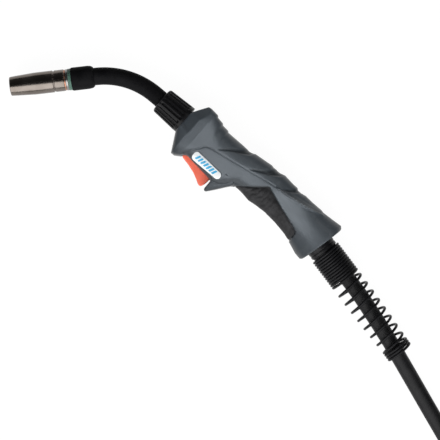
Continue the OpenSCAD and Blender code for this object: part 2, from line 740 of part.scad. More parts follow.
module contact_pin_b() {
    contact_pin(-1);
}

module liner_nut() {
    color("goldenrod") along_plug() translate([0, 0, body_front + pin_len]) difference() {
        cylinder(r = 5.2, h = 6, $fn = 6);
        translate([0, 0, -1]) cylinder(r = 1.5, h = 9, $fn = 24);
    }
}

gas_nozzle();
contact_tip();
tip_adaptor();
tip_holder();
nozzle_seat();
insulator_ring();
neck_end_collar();
neck_tube();
neck_insulation();
wire_liner();
neck_nut();
neck_connector();
crimp_ferrule();
handle_shell_upper();
handle_shell_lower();
grip_pad_upper();
grip_pad_lower();
badge_upper();
badge_lower();
handle_screws();
trigger();
trigger_pin();
trigger_spring();
microswitch();
switch_plunger();
switch_leads();
cable_lead_in();
cable_support();
kink_spring();
power_cable();
cable_coil();
cable_tie();
cable_tail();
plug_boot();
plug_housing();
plug_body();
union_nut();
gas_nipple();
gas_o_ring();
contact_pin_a();
contact_pin_b();
liner_nut();
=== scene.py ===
"""MIG welding torch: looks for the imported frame."""
import math

import bmesh
import bpy
import numpy as np
from mathutils import Matrix, Vector


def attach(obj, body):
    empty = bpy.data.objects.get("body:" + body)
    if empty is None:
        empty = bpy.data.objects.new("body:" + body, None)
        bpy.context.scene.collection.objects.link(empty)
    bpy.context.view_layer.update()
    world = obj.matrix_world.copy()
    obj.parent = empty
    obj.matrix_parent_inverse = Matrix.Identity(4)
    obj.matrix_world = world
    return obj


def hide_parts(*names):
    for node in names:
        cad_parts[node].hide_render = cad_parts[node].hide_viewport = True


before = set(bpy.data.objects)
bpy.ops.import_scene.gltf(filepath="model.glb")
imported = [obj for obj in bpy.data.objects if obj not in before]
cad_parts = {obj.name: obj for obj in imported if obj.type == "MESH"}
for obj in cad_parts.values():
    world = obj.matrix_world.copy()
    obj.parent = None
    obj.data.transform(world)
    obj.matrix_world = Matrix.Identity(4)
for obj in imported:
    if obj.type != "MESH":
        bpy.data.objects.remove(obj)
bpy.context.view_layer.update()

MM = 0.001
# Working datum of the part: the handle's front face on the neck's axis, in the row frame
DATUM = np.array([-77.4, 34.3, 0.0])
MID_Z = 20.0          # height of the torch's middle plane
NECK_ANGLE = math.radians(47.2)
NECK_CROSS_X = -73.6
NECK_REACH = 119.6
NECK_BEND_R = 79.0
NECK_R = 8.75
NECK_BORE_R = 6.2
SUPPORT_AT = np.array([184.5, -8.0, MID_Z])
SUPPORT_LEAN = math.radians(12.3)
PICTURE_TURN = math.radians(40.5)   # how far the torch is turned in the picture
PICTURE_WIDTH = 0.44
PICTURE_CENTRE = np.array([91.1, -53.3, MID_Z])
CAMERA_HEIGHT = 1.5


def to_row(points):
    """Points of the working datum, in millimetres, as metres in the row frame."""
    return (np.asarray(points, float) + DATUM) * MM


# ---------------------------------------------------------------- camera and light

def make_camera():
    data = bpy.data.cameras.new("camera")
    data.sensor_width = 36.0
    data.lens = data.sensor_width * CAMERA_HEIGHT / PICTURE_WIDTH
    cam = bpy.data.objects.new("camera", data)
    cam.location = Vector(to_row(PICTURE_CENTRE)) + Vector((0, 0, CAMERA_HEIGHT))
    cam.rotation_euler = (0, 0, PICTURE_TURN)
    bpy.context.scene.collection.objects.link(cam)
    bpy.context.scene.camera = cam


def make_area(name, location, target, size, power, colour=(1, 1, 1)):
    light = bpy.data.lights.new(name, "AREA")
    light.shape = "RECTANGLE"
    light.size, light.size_y = size
    light.energy = power
    light.color = colour
    obj = bpy.data.objects.new(name, light)
    obj.location = location
    direction = Vector(target) - Vector(location)
    obj.rotation_euler = direction.to_track_quat("-Z", "Y").to_euler()
    bpy.context.scene.collection.objects.link(obj)
    return obj


def make_world():
    world = bpy.data.worlds.new("studio")
    bpy.context.scene.world = world
    world.use_nodes = True
    nodes, links = world.node_tree.nodes, world.node_tree.links
    coord = nodes.new("ShaderNodeTexCoord")
    split = nodes.new("ShaderNodeSeparateXYZ")
    ramp = nodes.new("ShaderNodeValToRGB")
    ramp.color_ramp.elements[0].position = 0.0
    ramp.color_ramp.elements[0].color = (1.0, 1.0, 1.0, 1)
    ramp.color_ramp.elements[1].position = 0.95
    ramp.color_ramp.elements[1].color = (0.3, 0.3, 0.31, 1)
    background = nodes["Background"]
    background.inputs["Strength"].default_value = WORLD_STRENGTH
    links.new(coord.outputs["Generated"], split.inputs[0])
    links.new(split.outputs["Z"], ramp.inputs["Fac"])
    links.new(ramp.outputs["Color"], background.inputs["Color"])


def make_floor():
    bpy.ops.mesh.primitive_plane_add(size=60, location=(0, 0, 0))
    floor = bpy.context.object
    floor.name = "floor"
    mat = bpy.data.materials.new("floor")
    mat.use_nodes = True
    shader = mat.node_tree.nodes["Principled BSDF"]
    shader.inputs["Base Color"].default_value = (0.08, 0.08, 0.08, 1)
    shader.inputs["Roughness"].default_value = 1.0
    shader.inputs["Specular IOR Level"].default_value = 0.0
    shader.inputs["Emission Color"].default_value = (1, 1, 1, 1)
    shader.inputs["Emission Strength"].default_value = 0.96
    floor.data.materials.append(mat)
    floor.visible_diffuse = False


def make_softbox(name, tilt, turn, distance, size, radiance, colour=(1, 1, 1)):
    """Area light aimed at the torch: tilt from straight above, towards a direction in the picture."""
    direction = PICTURE_TURN + math.radians(turn)
    away = Vector((math.sin(math.radians(tilt)) * math.cos(direction),
                   math.sin(math.radians(tilt)) * math.sin(direction), math.cos(math.radians(tilt))))
    return make_area(name, away * distance, (0, 0, 0), size, radiance * math.pi * size[0] * size[1], colour)


def flag(light, pieces, reaches):
    """Lets a light reach only some pieces, or all but those, as a flag in front of a studio lamp does."""
    linked = bpy.data.collections.new(light.name + "_flag")
    light.light_linking.receiver_collection = linked
    for piece in pieces:
        linked.objects.link(piece)
    for entry in linked.collection_objects:
        entry.light_linking.link_state = "INCLUDE" if reaches else "EXCLUDE"


WORLD_STRENGTH = 0.10
make_camera()
make_world()
make_floor()
bpy.context.scene.view_settings.view_transform = "Standard"
key = make_softbox("key", 47, -95, 1.2, (2.6, 1.5), 2.8)
handle_key = make_softbox("handle_key", 47, -95, 1.2, (1.4, 1.0), 1.7)
make_softbox("rim", 40, 48, 1.2, (0.5, 0.35), 1.4)
overhead = make_softbox("overhead", 4, -90, 2.4, (1.2, 0.9), 9.3, (0.9, 0.98, 1.06))


# ---------------------------------------------------------------- materials

def new_material(name):
    mat = bpy.data.materials.new(name)
    mat.use_nodes = True
    return mat, mat.node_tree.nodes, mat.node_tree.links, mat.node_tree.nodes["Principled BSDF"]


def noise_node(nodes, links, coord, scale, detail=4.0, roughness=0.55, stretch=None, turn=0.0):
    """Noise; stretch says how many times longer its pattern is on each axis, after a turn about Z."""
    tex = nodes.new("ShaderNodeTexNoise")
    tex.inputs["Scale"].default_value = scale
    tex.inputs["Detail"].default_value = detail
    tex.inputs["Roughness"].default_value = roughness
    source = coord.outputs["Object"]
    if stretch is not None:
        mapping = nodes.new("ShaderNodeMapping")
        mapping.vector_type = "TEXTURE"
        mapping.inputs["Rotation"].default_value = (0, 0, turn)
        mapping.inputs["Scale"].default_value = stretch
        links.new(source, mapping.inputs["Vector"])
        source = mapping.outputs["Vector"]
    links.new(source, tex.inputs["Vector"])
    return tex


def ramp_node(nodes, links, source, low, high, start=0.35, stop=0.65):
    ramp = nodes.new("ShaderNodeValToRGB")
    ramp.color_ramp.elements[0].position = start
    ramp.color_ramp.elements[0].color = (*low, 1)
    ramp.color_ramp.elements[1].position = stop
    ramp.color_ramp.elements[1].color = (*high, 1)
    links.new(source, ramp.inputs["Fac"])
    return ramp


def range_node(nodes, links, source, low, high):
    spread = nodes.new("ShaderNodeMapRange")
    spread.inputs["From Min"].default_value = 0.3
    spread.inputs["From Max"].default_value = 0.7
    spread.inputs["To Min"].default_value = low
    spread.inputs["To Max"].default_value = high
    links.new(source, spread.inputs["Value"])
    return spread


def bump_node(nodes, links, source, strength, distance):
    bump = nodes.new("ShaderNodeBump")
    bump.inputs["Strength"].default_value = strength
    bump.inputs["Distance"].default_value = distance
    links.new(source, bump.inputs["Height"])
    return bump


def mix_colour(mat, amount, colour):
    """Mixes one more colour into a material's base colour."""
    nodes, links = mat.node_tree.nodes, mat.node_tree.links
    shader = nodes["Principled BSDF"]
    source = shader.inputs["Base Color"].links[0].from_socket
    mix = nodes.new("ShaderNodeMix")
    mix.data_type = "RGBA"
    # A colour Mix node has its factor in input 0, its colours in 6 and 7 and its result in output 2
    mix.inputs[7].default_value = (*colour, 1)
    links.new(amount, mix.inputs[0])
    links.new(source, mix.inputs[6])
    links.new(mix.outputs[2], shader.inputs["Base Color"])


def mix_by_attribute(mat, attribute_name, colour):
    """Mixes a colour in where a point attribute says so."""
    attribute = mat.node_tree.nodes.new("ShaderNodeAttribute")
    attribute.attribute_name = attribute_name
    mix_colour(mat, attribute.outputs["Fac"], colour)


def surface(name, dark, light, rough, metallic=0.0, grain=1800, grain_depth=0.00004, grain_strength=0.3,
            mottle=60, stretch=None, turn=0.0, coat=0.0, specular=0.5, sheen=0.0, edge_wear_and_highlight=None):
    """A material with mottled colour, uneven gloss, a fine grain and, with edge_wear_and_highlight, paler
    convex edges: partly worn, partly a painted highlight.
    """
    mat, nodes, links, shader = new_material(name)
    coord = nodes.new("ShaderNodeTexCoord")
    broad = noise_node(nodes, links, coord, mottle)
    fine = noise_node(nodes, links, coord, grain, detail=2.0, stretch=stretch, turn=turn)
    colours = ramp_node(nodes, links, broad.outputs["Fac"], dark, light)
    gloss = range_node(nodes, links, broad.outputs["Fac"], rough[0], rough[1])
    bump = bump_node(nodes, links, fine.outputs["Fac"], grain_strength, grain_depth)
    links.new(colours.outputs["Color"], shader.inputs["Base Color"])
    if edge_wear_and_highlight:
        # Pointiness pales convex edges: partly worn edges, partly a painted highlight along ridges, flutes
        # and coils.
        rubbed_and_highlit = range_node(nodes, links, nodes.new("ShaderNodeNewGeometry").outputs["Pointiness"], 0, 0.7)
        rubbed_and_highlit.inputs["From Min"].default_value = 0.53
        rubbed_and_highlit.inputs["From Max"].default_value = 0.62
        mix_colour(mat, rubbed_and_highlit.outputs["Result"], edge_wear_and_highlight)
    links.new(gloss.outputs["Result"], shader.inputs["Roughness"])
    links.new(bump.outputs["Normal"], shader.inputs["Normal"])
    shader.inputs["Metallic"].default_value = metallic
    shader.inputs["Coat Weight"].default_value = coat
    shader.inputs["Specular IOR Level"].default_value = specular
    shader.inputs["Sheen Weight"].default_value = sheen
    return mat


TURNED_METAL = {"metallic": 1.0, "grain": 900, "grain_strength": 0.15}
MATERIALS = {
    "handle": surface("handle_plastic", (0.054, 0.061, 0.067), (0.066, 0.074, 0.081), (0.33, 0.41),
                      grain=2600, mottle=35, specular=0.4, edge_wear_and_highlight=(0.2, 0.22, 0.23)),
    "grip": surface("grip_rubber", (0.016, 0.016, 0.017), (0.036, 0.036, 0.038), (0.55, 0.68), grain=2200,
                    mottle=120, specular=0.15),
    "black": surface("black_plastic", (0.004, 0.004, 0.005), (0.009, 0.009, 0.010), (0.26, 0.36), grain=2400,
                     specular=0.16, edge_wear_and_highlight=(0.05, 0.05, 0.053)),
    "neck": surface("neck_rubber", (0.006, 0.006, 0.0068), (0.010, 0.010, 0.011), (0.45, 0.6), grain=900,
                    mottle=90, specular=0.03),
    "jacket": surface("lead_jacket", (0.007, 0.007, 0.008), (0.014, 0.014, 0.015), (0.42, 0.55), grain=1200,
                      mottle=70, specular=0.16),
    "trigger": surface("trigger_red", (0.94, 0.175, 0.105), (0.98, 0.205, 0.135), (0.34, 0.42), grain=2600,
                       specular=0.35),
    "badge": surface("badge_white", (0.86, 0.9, 0.92), (0.92, 0.94, 0.95), (0.2, 0.26), grain=3000,
                     grain_strength=0.08, coat=0.3),
    "badge_mark": surface("badge_blue", (0.05, 0.40, 0.70), (0.08, 0.47, 0.76), (0.25, 0.32), grain=3000,
                          grain_strength=0.08),
    "nickel": surface("nozzle_nickel", (0.135, 0.116, 0.100), (0.200, 0.176, 0.158), (0.16, 0.28),
                      metallic=1.0, grain=3200, grain_strength=0.2, grain_depth=0.00002, mottle=45,
                      stretch=(1, 40, 40), turn=NECK_ANGLE),
    "copper": surface("copper", (0.34, 0.16, 0.105), (0.43, 0.225, 0.155), (0.22, 0.36), **TURNED_METAL),
    "brass": surface("brass", (0.58, 0.41, 0.17), (0.70, 0.52, 0.25), (0.22, 0.34), **TURNED_METAL),
    "steel": surface("steel", (0.22, 0.22, 0.215), (0.30, 0.30, 0.295), (0.25, 0.36), **TURNED_METAL),
    "teal": surface("insulator_teal", (0.085, 0.17, 0.135), (0.115, 0.215, 0.17), (0.3, 0.4), grain=2600,
                    specular=0.2),
    "spring": surface("spring_black", (0.004, 0.004, 0.005), (0.009, 0.009, 0.010), (0.25, 0.36), grain=1500,
                      specular=0.08, edge_wear_and_highlight=(0.035, 0.035, 0.037)),
    "white": surface("plunger_white", (0.66, 0.65, 0.6), (0.75, 0.74, 0.7), (0.35, 0.45), grain=2600),
    "wire": surface("lead_red", (0.22, 0.02, 0.015), (0.30, 0.03, 0.02), (0.4, 0.5), grain=2600),
    "strap": surface("tie_strap", (0.012, 0.012, 0.014), (0.035, 0.035, 0.038), (0.75, 0.9), grain=900,
                     grain_depth=0.0004, grain_strength=0.8, mottle=400, sheen=0.4),
}


# Painted shade: the dark attribute darkens the handle in its seam groove and where it meets the grip pads; it
# also darkens the scooped cuts.
mix_by_attribute(MATERIALS["handle"], "dark", (0.012, 0.014, 0.016))
mix_by_attribute(MATERIALS["nickel"], "heat", (0.035, 0.028, 0.026))


# ---------------------------------------------------------------- mesh helpers

def edit_mesh(mesh, change):
    """Runs a change on a mesh as a bmesh."""
    bm = bmesh.new()
    bm.from_mesh(mesh)
    change(bm)
    bm.to_mesh(mesh)
    bm.free()


def face_outwards(bm):
    bmesh.ops.recalc_face_normals(bm, faces=bm.faces)


def add_mesh(name, points, faces, material, smooth=True):
    """A mesh object from points in row metres."""
    mesh = bpy.data.meshes.new(name)
    mesh.from_pydata([tuple(p) for p in points], [], faces)
    mesh.validate()
    obj = bpy.data.objects.new(name, mesh)
    bpy.context.scene.collection.objects.link(obj)
    mesh.materials.append(MATERIALS[material])
    edit_mesh(mesh, face_outwards)
    mesh.polygons.foreach_set("use_smooth", [smooth] * len(mesh.polygons))
    return obj


def sharpen(obj, degrees):
    """Edges sharper than an angle stay crisp."""
    limit = math.radians(degrees)

    def mark(bm):
        for edge in bm.edges:
            edge.smooth = len(edge.link_faces) == 2 and edge.calc_face_angle(0.0) < limit

    edit_mesh(obj.data, mark)


def place(obj, body, slot, *nodes):
    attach(obj, body)
    if nodes:
        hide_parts(*nodes)
    return obj


def end_caps(rows, cols):
    """The two faces that close a grid of rings at its first and last row."""
    return [tuple(range(cols))[::-1], tuple((rows - 1) * cols + k for k in range(cols))]


def grid_faces(rows, cols, wrap_rows=False, wrap_cols=True):
    """Quads over a grid of points stored row by row."""
    faces = []
    for i in range(rows if wrap_rows else rows - 1):
        for k in range(cols if wrap_cols else cols - 1):
            a, b = i * cols, ((i + 1) % rows) * cols
            m = (k + 1) % cols
            faces.append((a + k, a + m, b + m, b + k))
    return faces


def smooth_path(points, spacing):
    """Catmull-Rom curve through the points, sampled about every spacing."""
    p = np.asarray(points, float)
    ext = np.vstack([2 * p[0] - p[1], p, 2 * p[-1] - p[-2]])
    out = []
    for i in range(1, len(ext) - 2):
        a, b, c, d = ext[i - 1], ext[i], ext[i + 1], ext[i + 2]
        steps = max(2, int(np.linalg.norm(c - b) / spacing))
        for t in np.arange(steps) / steps:
            out.append(0.5 * (2 * b + (c - a) * t + (2 * a - 5 * b + 4 * c - d) * t ** 2
                              + (3 * b - a - 3 * c + d) * t ** 3))
    out.append(p[-1])
    return np.array(out)


def frames_along(path, up):
    """Unit vectors square to a path: one near up, and the other across it."""
    tangent = np.gradient(path, axis=0)
    tangent /= np.linalg.norm(tangent, axis=1)[:, None]
    side = np.cross(tangent, up)
    side /= np.linalg.norm(side, axis=1)[:, None]
    return side, np.cross(side, tangent)


def sweep(path, radius, sides, up=(0, 0, 1)):
    """Points and faces of a closed tube around a path; radius is one number or one for each point."""
    path = np.asarray(path, float)
    radius = np.broadcast_to(np.asarray(radius, float), (len(path),))
    side, above = frames_along(path, np.asarray(up, float))
    angle = np.arange(sides) * 2 * math.pi / sides
    ring = path[:, None] + radius[:, None, None] * (np.cos(angle)[None, :, None] * side[:, None]
                                                    + np.sin(angle)[None, :, None] * above[:, None])
    return ring.reshape(-1, 3), grid_faces(len(path), sides) + end_caps(len(path), sides)


def axis_frame(origin, angle):
    """Origin and the three unit vectors for turned parts: along, across and up."""
    along = np.array([math.cos(angle), math.sin(angle), 0])
    return np.asarray(origin, float), along, np.array([-along[1], along[0], 0]), np.array([0, 0, 1.0])


def turned(name, where, profile, material, segments=96, shape=None, round_edge=0.0):
    """A closed turned solid: profile is (distance along the axis, radius) all the way round its section."""
    origin, along, across_axis, up = where
    prof = np.asarray(round_corners(profile, round_edge) if round_edge else profile, float)
    angle = np.arange(segments) * 2 * math.pi / segments
    points = []
    for s, r in prof:
        rr = r * np.ones(segments) if shape is None else shape(s, r, angle)
        points.append(origin + s * along + rr[:, None] * (np.cos(angle)[:, None] * across_axis
                                                          + np.sin(angle)[:, None] * up))
    obj = add_mesh(name, to_row(np.vstack(points)), grid_faces(len(prof), segments, wrap_rows=True), material)
    sharpen(obj, 32)
    return obj


def turned_piece(name, where, profile, look, body, slot, node, **options):
    place(turned(name, where, profile, look, **options), body, slot, node)


def round_corners(profile, radius, steps=3):
    """Cuts each corner of a closed profile back with a small arc."""
    p = [np.asarray(q, float) for q in profile]
    out = []
    for i, b in enumerate(p):
        a, c = p[i - 1], p[(i + 1) % len(p)]
        la, lc = np.linalg.norm(a - b), np.linalg.norm(c - b)
        cut = min(radius, 0.45 * la, 0.45 * lc)
        start, stop = b + (a - b) / la * cut, b + (c - b) / lc * cut
        for t in np.linspace(0, 1, steps + 1):
            out.append((1 - t) ** 2 * start + 2 * t * (1 - t) * b + t ** 2 * stop)
    return out


NOZZLE_AT = [NECK_CROSS_X - NECK_REACH * math.cos(NECK_ANGLE), -NECK_REACH * math.sin(NECK_ANGLE), MID_Z]
NOZZLE = axis_frame(NOZZLE_AT, NECK_ANGLE)
NECK = axis_frame([0, 0, MID_Z], 0)
SUPPORT = axis_frame(SUPPORT_AT, -SUPPORT_LEAN)


# ---------------------------------------------------------------- the lead

LEAD_ROUTE = [[206, -12.7, 20], [217, -14, 20], [228, -15.4, 20], [245, -19.2, 19.9], [262, -24, 19.5],
              [280, -29.3, 18.7], [298, -34.9, 17.6], [315, -40.6, 16.1], [333, -46.8, 14.2],
              [352, -53.4, 12.2], [372, -60.4, 10.2], [393, -67.7, 8.8], [415, -75.4, 8.2], [437, -83, 8.1],
              [455, -89.2, 8.1], [468, -93.7, 8.1]]
TAIL_ROUTE = [[419.7, -57.2, 24], [432, -71, 25], [449.5, -85, 28], [467, -93, 31.5], [486.5, -97.1, 35.5],
              [505, -97, 39], [522.7, -92.2, 41], [536.5, -86.5, 42], [548.2, -79.5, 43.5],
              [558, -69.5, 45.5], [566, -57, 48], [571, -43.5, 50.3], [572.7, -29.4, 52.2],
              [571.5, -15, 53.5], [567, -1.4, 54], [562, 10, 54], [557, 21.3, 54], [550.7, 35.5, 54]]
LEAD_R = 8.0
COIL_AT = np.array([500.0, -1.0])
COIL_ENTRY = math.radians(-109)   # angle of the coil's first turn where the lead meets it


def eased(t, start, stop):
    s = np.clip((t - start) / (stop - start), 0, 1)
    return s * s * (3 - 2 * s)


def coil_turns():
    """Two layers of turns: three inwards on the surface, then outwards on top of them."""
    t = np.arange(0.02, 4.86, 0.02)
    radius = (98 - 16 * eased(t, 0.65, 1.05) - 16 * eased(t, 1.65, 2.05) + 16 * eased(t, 3.2, 3.6)
              + 16 * eased(t, 4.2, 4.6))
    height = LEAD_R + 0.1 + (24 - LEAD_R) * eased(t, 2.55, 2.85)
    angle = COIL_ENTRY + 2 * math.pi * t
    return np.column_stack([COIL_AT[0] + radius * np.cos(angle), COIL_AT[1] + radius * np.sin(angle), height])


def make_lead():
    path = np.vstack([smooth_path(LEAD_ROUTE, 4), coil_turns(), smooth_path(TAIL_ROUTE, 4)])
    curve = bpy.data.curves.new("power_lead", "CURVE")
    curve.dimensions = "3D"
    curve.bevel_depth = LEAD_R * MM
    curve.bevel_resolution = 7
    curve.use_fill_caps = True
    spline = curve.splines.new("POLY")
    spline.points.add(len(path) - 1)
    for point, place_at in zip(spline.points, to_row(path)):
        point.co = (*place_at, 1)
    obj = bpy.data.objects.new("power_lead", curve)
    bpy.context.scene.collection.objects.link(obj)
    curve.materials.append(MATERIALS["jacket"])
    place(obj, "torch", "lead_jacket", "power_cable", "cable_coil", "cable_tail")
    return obj


lead = make_lead()


# ---------------------------------------------------------------- handle

TOP_LINE = [[0, 10], [4, 16.2], [10, 25], [13, 25.5], [22.3, 24.6], [23.6, 22.8], [31, 21.8], [32.3, 20.3],
            [39.6, 19.8], [41, 18.5], [60, 18.4], [66, 18.1], [71, 18.7], [75, 19.9], [95.5, 22],
            [98, 21.3], [106.5, 21.8], [110, 22.8], [129, 22.5], [131.5, 21.3], [138, 21.2], [140.5, 21.8],
            [159.5, 20.4], [162, 19.4], [172, 20], [181.4, 20.8], [184, 18.4]]
LOW_LINE = [[0, -15], [4, -22.2], [10.5, -34.2], [14, -34.1], [19.4, -30.6], [21, -28.6], [23.6, -26.5],
            [26, -26.1], [56, -29.3], [59, -30.2], [66, -29], [72, -25.6], [76, -22], [80, -19.2],
            [84, -18.4], [90, -18.8], [100, -20.4], [108, -19.3], [120, -18.7], [135, -20], [150, -22.5],
            [160, -25.5], [174, -30], [182, -31.1], [184, -29.6]]
HALF_WIDTH = [[0, 17], [10.5, 19.4], [20, 20], [45, 19.4], [60, 18.5], [80, 17], [110, 16.2],
              *([x, 16.2 + 3.8 * ((x - 148) / 36) ** 2] for x in range(148, 186, 2))]
LOW_BOXINESS = [[0, 4], [14, 5], [24, 7], [58, 7], [76, 4], [92, 3], [140, 2.8], [166, 2.3], [184, 2.3]]
TOP_BOXINESS = [[0, 3], [10, 6], [24, 6], [34, 3.2], [46, 2.5], [150, 2.45], [184, 2.3]]
HANDLE_LEN = 184.0
REAR_LEAN_FROM = 140.0
REAR_PIVOT_Y = -6.0
WALL = 2.4
FRONT_WALL = 2.6   # thickness of the wall around the neck
FIRST_PHI = 0.012   # angle of the first points past the halves' joint
SLOT = (19.4, 58.4)          # the trigger's slot along the handle
SLOT_HALF = 6.3
FRONT_HOLE_R = 10.4
SEAM = [[20, -27], [27, -16], [33, -7.2], [38, -5], [45, -4], [80, 2], [108, 7], [130, 10]]
CREST = [[113, 7.4], [129, 9.1], [147.5, 11.7], [158, 14], [166.5, 16.4]]
PAD_EDGE = [[80.6, -18.4], [94, -7.6], [107, 3.4], [130, -5], [150, -11.2], [155.5, -13.6], [157, -16],
            [157.6, -24.6]]
PAD_SUNK = 1.0
PAD_ENDS = (81.2, 157.2)
# Three scooped cuts in the upper flank: path, and half width along it
SCOOPS = [([[44.6, -1.4], [55, 7.2], [63, 12], [70, 17], [74, 22]], [0.2, 1.6, 2.6, 2.8, 2.2]),
          ([[81.6, 4], [92, 10.6], [100, 16], [108, 22]], [0.2, 1.8, 3.2, 3.4]),
          ([[118.5, 9.2], [124, 13.4], [134, 22]], [0.2, 1.8, 2.8])]
BADGE_ENDS = (28.9, 64.0)
BADGE_CORNER = 3.6


def lookup(x, table):
    table = np.asarray(table, float)
    return np.interp(x, table[:, 0], table[:, 1])


def soft_min(a, b, k):
    mix = np.clip(0.5 + 0.5 * (b - a) / k, 0, 1)
    return b * (1 - mix) + a * mix - k * mix * (1 - mix)


def path_distance(x, y, path):
    """Distance of points from a path, and how far along it (0 to 1 by segment) the nearest place is."""
    path = np.asarray(path, float)
    best = np.full(np.shape(x), 1e9)
    along = np.zeros(np.shape(x))
    for i, (a, b) in enumerate(zip(path[:-1], path[1:])):
        d = b - a
        t = np.clip(((x - a[0]) * d[0] + (y - a[1]) * d[1]) / (d @ d), 0, 1)
        dist = np.hypot(x - a[0] - t * d[0], y - a[1] - t * d[1])
        nearer = dist < best
        best = np.where(nearer, dist, best)
        along = np.where(nearer, i + t, along)
    return best, along


def flank(x, phi, inset):
    """Section of one half of the handle: y, z and the outward normal at angle phi from its top edge."""
    top = lookup(x, TOP_LINE) - inset
    low = lookup(x, LOW_LINE) + inset
    width = lookup(x, HALF_WIDTH) - inset
    mid, high = (top + low) / 2, (top - low) / 2
    n = np.where(phi < math.pi / 2, lookup(x, TOP_BOXINESS), lookup(x, LOW_BOXINESS))
    c, s = np.cos(phi), np.maximum(np.sin(phi), 0)
    reach = (np.abs(c) ** n + s ** n) ** (-1 / n)
    ty, tz = reach * c, reach * s
    y, z = mid + high * ty, width * tz
    ny, nz = np.sign(ty) * np.abs(ty) ** (n - 1) / high, tz ** (n - 1) / width
    size = np.hypot(ny, nz) + 1e-9
    below_fold = np.maximum(0, -(y + 2 + 0.58 * x))
    chamfer = 12.4 - inset + 0.64 * x - 0.35 * np.maximum(0, y - 9) + 0.9 * below_fold
    z = np.maximum(soft_min(z, chamfer, 0.35), 0)
    return y, z, ny / size, nz / size


def rear_lean(x, y):
    share = np.maximum(0, (x - REAR_LEAN_FROM) / (HANDLE_LEN - REAR_LEAN_FROM))
    return x + share * math.tan(SUPPORT_LEAN) * (y - REAR_PIVOT_Y)


def badge_edges(x):
    """Lower and upper edges of the badge, with round corners."""
    reach = np.clip(BADGE_CORNER - np.minimum(x - BADGE_ENDS[0], BADGE_ENDS[1] - x), 0, BADGE_CORNER)
    drop = BADGE_CORNER - np.sqrt(BADGE_CORNER ** 2 - reach ** 2)
    return -25.7 + 0.01 * (x - 30) + drop, -15.8 - 0.055 * (x - 30) - drop


def inside_pad(x, y):
    return np.clip((lookup(x, PAD_EDGE) - y) / 0.9 + 0.5, 0, 1) * (x > 80.6) * (x < 157.6)


def handle_relief(x, y):
    """How far the surface is sunk at each place, and how much its colour is darkened: painted shade in the
    seam groove and along the pads, darker colour in the scoops.
    """
    sunk = np.zeros(np.shape(x))
    dark = np.zeros(np.shape(x))
    d, _ = path_distance(x, y, SEAM)
    clear = np.interp(x, [38, 62], [1, 0.4])
    sunk += 0.5 * clear * np.exp(-(d / 0.6) ** 2)
    # Painted shade darkens the seam groove.
    dark = np.maximum(dark, 0.55 * clear * np.exp(-(d / 0.55) ** 2))
    d, _ = path_distance(x, y, CREST)
    sunk -= 0.9 * np.exp(-(d / 0.7) ** 2)
    past_crest = y - lookup(x, CREST)
    ridge = np.interp(x, [112, 124, 150, 167], [0, 1, 1, 0])
    sunk += ridge * (0.4 * np.clip(past_crest, 0, 5) - 0.9 * np.clip(1 + past_crest / 10, 0, 1) ** 2)
    for path, widths in SCOOPS:
        d, along = path_distance(x, y, path)
        half = np.interp(along, np.arange(len(widths)), widths)
        inside = np.clip((half - d) / 1.6 + 0.3, 0, 1)
        sunk += 1.6 * inside * inside * (3 - 2 * inside) * np.interp(y, [12, 20], [1, 0.3])
        dark = np.maximum(dark, 0.8 * np.clip((half - d) / 1.6 + 0.1, 0, 1))
    pad = inside_pad(x, y)
    sunk += PAD_SUNK * pad
    # Painted shade darkens the shell under and along the grip pads.
    dark = np.maximum(dark, pad)
    badge_low, badge_top = badge_edges(x)
    d = np.maximum(np.maximum(y - badge_top, badge_low - y), np.maximum(BADGE_ENDS[0] - x, x - BADGE_ENDS[1]))
    sunk += 0.45 * np.clip((0.6 - d) / 0.7, 0, 1)
    return sunk, dark


def grid_shell(outer, inner, keep):
    """Points and faces of a wall between two grids; quads that aren't kept are left open."""
    rows, cols = outer.shape[:2]
    count = rows * cols
    faces = []
    edges = {}
    for i in range(rows - 1):
        for k in range(cols - 1):
            if not keep[i, k]:
                continue
            quad = (i * cols + k, i * cols + k + 1, (i + 1) * cols + k + 1, (i + 1) * cols + k)
            faces.append(quad)
            faces.append(tuple(v + count for v in reversed(quad)))
            for a, b in zip(quad, quad[1:] + quad[:1]):
                edges[frozenset((a, b))] = None if frozenset((a, b)) in edges else (a, b)
    faces += [(a, a + count, b + count, b) for a, b in filter(None, edges.values())]
    return np.vstack([outer.reshape(-1, 3), inner.reshape(-1, 3)]), faces


